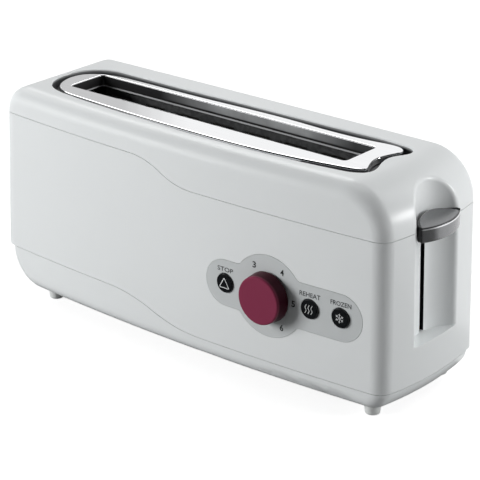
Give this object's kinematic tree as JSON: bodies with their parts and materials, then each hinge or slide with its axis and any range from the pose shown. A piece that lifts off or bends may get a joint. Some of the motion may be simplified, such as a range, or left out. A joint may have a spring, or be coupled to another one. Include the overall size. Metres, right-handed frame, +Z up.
{
  "type": "long-slot toaster",
  "caption": "Long-slot toaster with an off-white moulded housing, chromed slot trim, browning knob, push buttons, end lever and a pull-out crumb tray.",
  "frame": {"origin": "centre of the footprint box, at the underside of the feet", "axes": "+X along the slot towards the lever end, +Y from the control side to the back, +Z up"},
  "size_m": [0.3702, 0.1254, 0.165],
  "materials": {
    "housing_white": "satin moulded polypropylene, off-white",
    "trim_chrome": "polished chromed sheet",
    "panel_grey": "smooth light grey overlay",
    "knob_burgundy": "glossy burgundy plastic",
    "button_black": "semi-gloss black caps",
    "lever_silver": "silver lacquer over a moulding",
    "black_plastic": "black heat-resistant plastic",
    "foot_rubber": "soft translucent rubber",
    "tray_steel": "bare pressed sheet",
    "chassis_steel": "galvanised sheet",
    "steel_plain": "plain drawn wire and zinc-plated screws",
    "mica_card": "pressed mica sheet",
    "heater_ribbon": "oxidised resistance ribbon",
    "bumper_rubber": "matt black rubber",
    "coil_tape": "varnished coil tape",
    "board_green": "solder-masked laminate",
    "contact_brass": "spring brass"
  },
  "bodies": {
    "root": {"base": "housing_white", "board_screws": "steel_plain", "body_shell": "housing_white", "carriage_spring": "steel_plain", "case_screws": "steel_plain", "chassis_end_left": "chassis_steel", "chassis_end_right": "chassis_steel", "chassis_floor": "chassis_steel", "chassis_screws": "steel_plain", "circuit_board": "board_green", "contact_blades": "contact_brass", "control_panel": "panel_grey", "cord_gland": "black_plastic", "cover_screws": "steel_plain", "electromagnet": "chassis_steel", "foot_front_left": "foot_rubber", "foot_front_right": "foot_rubber", "foot_rear_left": "foot_rubber", "foot_rear_right": "foot_rubber", "frozen_switch": "black_plastic", "guide_rod": "steel_plain", "heat_shield_front": "chassis_steel", "heat_shield_rear": "chassis_steel", "heater_card_front": "mica_card", "heater_card_rear": "mica_card", "heater_winding_front": "heater_ribbon", "heater_winding_rear": "heater_ribbon", "magnet_coil": "coil_tape", "mains_switch": "black_plastic", "potentiometer": "black_plastic", "reheat_switch": "black_plastic", "slot_trim": "trim_chrome", "stop_bumper": "bumper_rubber", "stop_switch": "black_plastic", "top_cover": "housing_white"},
    "carriage": {"bread_carriage": "chassis_steel", "carriage_bracket": "chassis_steel", "armature_plate": "steel_plain", "lever_handle": "lever_silver", "lever_core": "black_plastic"},
    "knob": {"browning_knob": "knob_burgundy", "potentiometer_shaft": "steel_plain"},
    "stop_key": {"stop_button": "button_black"},
    "reheat_key": {"reheat_button": "button_black"},
    "frozen_key": {"frozen_button": "button_black"},
    "crumb_drawer": {"crumb_tray": "tray_steel"},
    "cage_front": {"guide_cage_front": "steel_plain"},
    "cage_rear": {"guide_cage_rear": "steel_plain"}
  },
  "joints": [
    {"name": "carriage_slide", "type": "slide", "parent": "root", "child": "carriage", "axis": [0, 0, -1], "range_m": [0, 0.062], "stiffness_N_per_m": 60, "springref_m": -0.05, "deforming": ["carriage_spring"]},
    {"name": "knob_turn", "type": "hinge", "parent": "root", "child": "knob", "pos_m": [0.08108, -0.05269, 0.071], "axis": [0, -1, 0], "range_deg": [-150, 150]},
    {"name": "stop_press", "type": "slide", "parent": "root", "child": "stop_key", "axis": [0, 1, 0], "range_m": [0, 0.0015], "stiffness_N_per_m": 600, "springref_m": -0.001},
    {"name": "reheat_press", "type": "slide", "parent": "root", "child": "reheat_key", "axis": [0, 1, 0], "range_m": [0, 0.0015], "stiffness_N_per_m": 600, "springref_m": -0.001},
    {"name": "frozen_press", "type": "slide", "parent": "root", "child": "frozen_key", "axis": [0, 1, 0], "range_m": [0, 0.0015], "stiffness_N_per_m": 600, "springref_m": -0.001},
    {"name": "crumb_pull", "type": "slide", "parent": "root", "child": "crumb_drawer", "axis": [0, 1, 0], "range_m": [0, 0.09]},
    {"name": "cage_front_close", "type": "slide", "parent": "root", "child": "cage_front", "axis": [0, 1, 0], "range_m": [0, 0.005]},
    {"name": "cage_rear_close", "type": "slide", "parent": "root", "child": "cage_rear", "axis": [0, -1, 0], "range_m": [0, 0.005]}
  ],
  "couplings": [
    {"joint": "cage_front_close", "follows": "carriage_slide", "ratio": 0.0806},
    {"joint": "cage_rear_close", "follows": "carriage_slide", "ratio": 0.0806}
  ]
}
